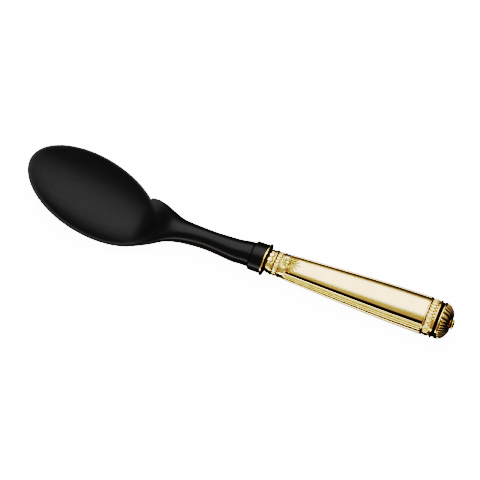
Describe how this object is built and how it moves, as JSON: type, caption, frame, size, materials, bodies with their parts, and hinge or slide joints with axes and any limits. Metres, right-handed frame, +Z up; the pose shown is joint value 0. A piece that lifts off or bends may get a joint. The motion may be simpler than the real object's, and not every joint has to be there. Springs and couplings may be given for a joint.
{
  "type": "serving spoon",
  "caption": "Serving spoon with a shallow black horn bowl, notched on one side, and a tapered oval gilt handle with palmettes, leaf bands and a fluted pommel.",
  "frame": {"origin": "on the plane the spoon lies on, under the middle of its length and width", "axes": "+X along the handle from the bowl to the butt, +Y to the notched side of the bowl, +Z up, out of the bowl's hollow"},
  "size_m": [0.2668, 0.054, 0.0139],
  "materials": {
    "horn": "black horn, satin inside the bowl and polished on the neck",
    "gilt": "polished gilding with darker recesses",
    "cement": "cast resin cement",
    "rod_steel": "plain drawn rod"
  },
  "bodies": {
    "root": {"spoon_bowl": "horn", "tang_rod": "rod_steel", "mouth_plate": "gilt", "bolster_sleeve": "gilt", "bolster_wire_front": "gilt", "bolster_leaf_band": "gilt", "bolster_wire_rear": "gilt", "handle_shell_upper": "gilt", "handle_shell_lower": "gilt", "palmette_upper": "gilt", "palmette_lower": "gilt", "butt_core": "gilt", "butt_wire_front": "gilt", "butt_leaf_band": "gilt", "butt_wire_rear": "gilt", "pommel_wire": "gilt", "pommel_dome": "gilt", "finial_button": "gilt", "handle_filler": "cement"}
  },
  "joints": []
}
